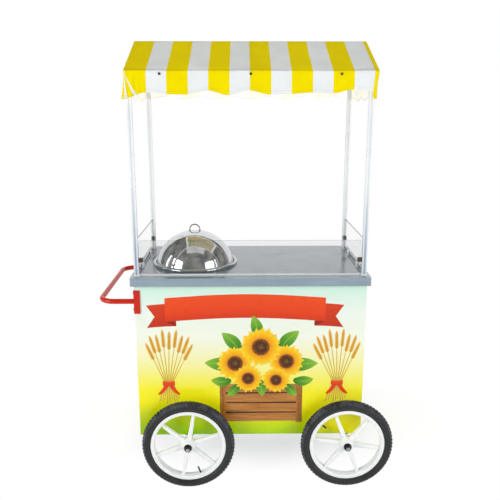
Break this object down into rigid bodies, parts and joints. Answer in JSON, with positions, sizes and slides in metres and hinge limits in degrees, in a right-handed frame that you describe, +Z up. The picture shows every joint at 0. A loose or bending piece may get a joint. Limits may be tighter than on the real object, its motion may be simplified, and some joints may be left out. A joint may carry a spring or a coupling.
{
  "type": "corn steamer cart",
  "caption": "Wheeled street food cart with a covered steaming pan let into its worktop, low glass guard, striped gable canopy, sliding doors at the back and a push handle.",
  "frame": {"origin": "on the floor in the middle of the cart's box", "axes": "+X to the right of the printed front, away from the push handle; +Y to the seller's side; +Z up"},
  "size_m": [1.258, 0.7946, 1.8886],
  "materials": {
    "frame_paint": "white powder coat",
    "printed_sheet": "glossy printed sheet",
    "side_sheet": "glossy painted sheet",
    "floor_steel": "bare sheet",
    "bare_aluminium": "anodised",
    "worktop_steel": "film over stainless sheet",
    "zinc_steel": "zinc plated",
    "burner_iron": "as cast",
    "tap_brass": "turned",
    "post_aluminium": "mill finish",
    "foot_aluminium": "satin",
    "pane_glass": "clear float glass",
    "clamp_bronze": "bronze lacquer",
    "clamp_grey": "dark grey lacquer",
    "clip_steel": "polished",
    "canopy_cloth": "striped coated cloth",
    "dark_steel": "blackened",
    "handle_red": "gloss enamel",
    "axle_steel": "bright drawn",
    "pan_steel": "pressed stainless",
    "lid_chrome": "mirror polished stainless",
    "door_board": "plastic-faced board",
    "knob_plastic": "moulded",
    "rim_white": "moulded white",
    "tyre_rubber": "treaded rubber",
    "valve_rubber": "moulded",
    "bearing_steel": "ground"
  },
  "bodies": {
    "cart": {"base_frame": "frame_paint", "corner_uprights": "frame_paint", "top_frame": "frame_paint", "front_panel": "printed_sheet", "left_panel": "side_sheet", "right_panel": "side_sheet", "floor_panel": "floor_steel", "door_tracks": "bare_aluminium", "worktop": "worktop_steel", "burner_cradle": "zinc_steel", "burner": "burner_iron", "gas_tap": "tap_brass", "front_posts": "post_aluminium", "rear_posts": "post_aluminium", "post_feet": "foot_aluminium", "post_bolts": "zinc_steel", "front_glass": "pane_glass", "left_glass": "pane_glass", "right_glass": "pane_glass", "front_glass_channel": "bare_aluminium", "front_glass_clamps": "clamp_bronze", "side_glass_clamps": "clamp_grey", "glass_base_clips": "clip_steel", "canopy_frame": "frame_paint", "canopy_cover": "canopy_cloth", "canopy_screws": "dark_steel", "push_handle": "handle_red", "handle_brackets": "handle_red", "handle_bolts": "zinc_steel", "left_axle": "axle_steel", "right_axle": "axle_steel", "axle_saddles": "dark_steel", "axle_ubolts": "zinc_steel", "axle_spacers": "axle_steel", "axle_nuts": "dark_steel"},
    "pan": {"pan": "pan_steel"},
    "steam_rack": {"steam_rack": "pan_steel"},
    "lid": {"lid": "lid_chrome", "lid_handle": "lid_chrome"},
    "left_door": {"left_door": "door_board", "left_door_pull": "bare_aluminium"},
    "right_door": {"right_door": "door_board", "right_door_pull": "bare_aluminium"},
    "gas_knob": {"gas_knob": "knob_plastic"},
    "front_left_wheel": {"front_left_rim": "rim_white", "front_left_tyre": "tyre_rubber", "front_left_valve": "valve_rubber", "front_left_bearings": "bearing_steel"},
    "front_right_wheel": {"front_right_rim": "rim_white", "front_right_tyre": "tyre_rubber", "front_right_valve": "valve_rubber", "front_right_bearings": "bearing_steel"},
    "rear_left_wheel": {"rear_left_rim": "rim_white", "rear_left_tyre": "tyre_rubber", "rear_left_valve": "valve_rubber", "rear_left_bearings": "bearing_steel"},
    "rear_right_wheel": {"rear_right_rim": "rim_white", "rear_right_tyre": "tyre_rubber", "rear_right_valve": "valve_rubber", "rear_right_bearings": "bearing_steel"}
  },
  "joints": [
    {"name": "pan_lift", "type": "slide", "parent": "cart", "child": "pan", "axis": [0, 0, 1], "range_m": [0, 0.25]},
    {"name": "rack_lift", "type": "slide", "parent": "pan", "child": "steam_rack", "axis": [0, 0, 1], "range_m": [0, 0.06]},
    {"name": "lid_lift", "type": "slide", "parent": "pan", "child": "lid", "axis": [0, 0, 1], "range_m": [0, 0.35]},
    {"name": "left_door_slide", "type": "slide", "parent": "cart", "child": "left_door", "axis": [1, 0, 0], "range_m": [0, 0.42]},
    {"name": "right_door_slide", "type": "slide", "parent": "cart", "child": "right_door", "axis": [1, 0, 0], "range_m": [-0.42, 0]},
    {"name": "gas_knob_turn", "type": "hinge", "parent": "cart", "child": "gas_knob", "pos_m": [-0.233, 0.193, 0.7188], "axis": [0, 1, 0], "range_deg": [0, 90]},
    {"name": "front_left_wheel_spin", "type": "hinge", "parent": "cart", "child": "front_left_wheel", "pos_m": [-0.254, -0.348, 0.2], "axis": [0, 1, 0], "continuous": true},
    {"name": "front_right_wheel_spin", "type": "hinge", "parent": "cart", "child": "front_right_wheel", "pos_m": [0.429, -0.348, 0.2], "axis": [0, 1, 0], "continuous": true},
    {"name": "rear_left_wheel_spin", "type": "hinge", "parent": "cart", "child": "rear_left_wheel", "pos_m": [-0.254, 0.348, 0.2], "axis": [0, 1, 0], "continuous": true},
    {"name": "rear_right_wheel_spin", "type": "hinge", "parent": "cart", "child": "rear_right_wheel", "pos_m": [0.429, 0.348, 0.2], "axis": [0, 1, 0], "continuous": true}
  ]
}
